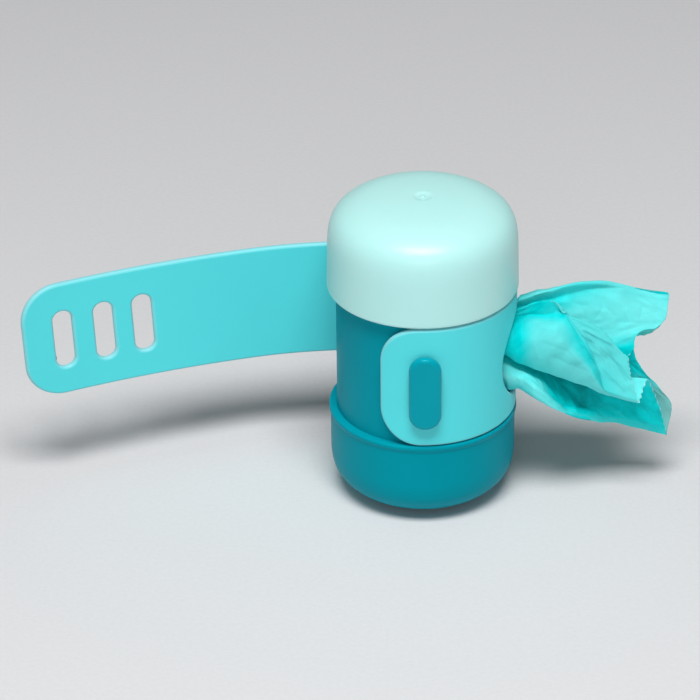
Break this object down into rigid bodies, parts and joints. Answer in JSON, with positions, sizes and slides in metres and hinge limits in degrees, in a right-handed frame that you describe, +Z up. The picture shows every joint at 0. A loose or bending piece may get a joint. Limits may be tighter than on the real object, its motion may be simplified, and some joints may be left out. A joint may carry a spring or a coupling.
{
  "type": "dog waste bag dispenser",
  "caption": "Upright capsule dispenser with push-on domed lid, cupped base, side exit hole with a film bag leading out, and a wrap-around slotted soft strap that buttons to its front.",
  "frame": {"origin": "centre of the flat foot, on the capsule's axis", "axes": "+Z up along the capsule's axis; -Y is the front, where the strap button is; +X is the side the bag comes out of; the loose strap tail points to -X"},
  "size_m": [0.1609, 0.0501, 0.0805],
  "materials": {
    "shell_teal": "satin",
    "strap_silicone": "satin",
    "lid_mint": "satin",
    "core_card": "matte",
    "bag_film_wound": "satin",
    "bag_film": "satin"
  },
  "bodies": {
    "capsule": {"base_cup": "shell_teal", "body_tube": "shell_teal", "strap_button": "shell_teal", "strap_wrap": "strap_silicone"},
    "lid": {"lid": "lid_mint"},
    "tail_root": {"strap_tail_root": "strap_silicone"},
    "tail_middle": {"strap_tail_middle": "strap_silicone"},
    "tail_outer": {"strap_tail_outer": "strap_silicone"},
    "tail_tip": {"strap_tail_tip": "strap_silicone"},
    "roll": {"roll_core": "core_card", "bag_roll": "bag_film_wound"},
    "lead_bag": {"lead_bag": "bag_film"}
  },
  "joints": [
    {"name": "lid_lift", "type": "slide", "parent": "capsule", "child": "lid", "axis": [0, 0, 1], "range_m": [0, 0.035]},
    {"name": "roll_spin", "type": "hinge", "parent": "capsule", "child": "roll", "pos_m": [0, 0, 0.0317], "axis": [0, 0, 1], "range_deg": [0, 107]},
    {"name": "bag_pull", "type": "slide", "parent": "capsule", "child": "lead_bag", "axis": [1, 0, 0], "range_m": [0, 0.029]},
    {"name": "strap_flex_1", "type": "hinge", "parent": "capsule", "child": "tail_root", "pos_m": [-0.00584, 0.02332, 0.0399], "axis": [0, 0, 1], "range_deg": [-20, 38], "stiffness_Nm_per_rad": 0.002},
    {"name": "strap_flex_2", "type": "hinge", "parent": "tail_root", "child": "tail_middle", "pos_m": [-0.0278, 0.02292, 0.0399], "axis": [0, 0, 1], "range_deg": [-20, 38], "stiffness_Nm_per_rad": 0.002},
    {"name": "strap_flex_3", "type": "hinge", "parent": "tail_middle", "child": "tail_outer", "pos_m": [-0.04922, 0.01803, 0.0399], "axis": [0, 0, 1], "range_deg": [-20, 38], "stiffness_Nm_per_rad": 0.002},
    {"name": "strap_flex_4", "type": "hinge", "parent": "tail_outer", "child": "tail_tip", "pos_m": [-0.07442, 0.00894, 0.0399], "axis": [0, 0, 1], "range_deg": [-20, 38], "stiffness_Nm_per_rad": 0.002}
  ],
  "couplings": [
    {"joint": "bag_pull", "follows": "roll_spin", "m_per_rad": 0.0155}
  ]
}
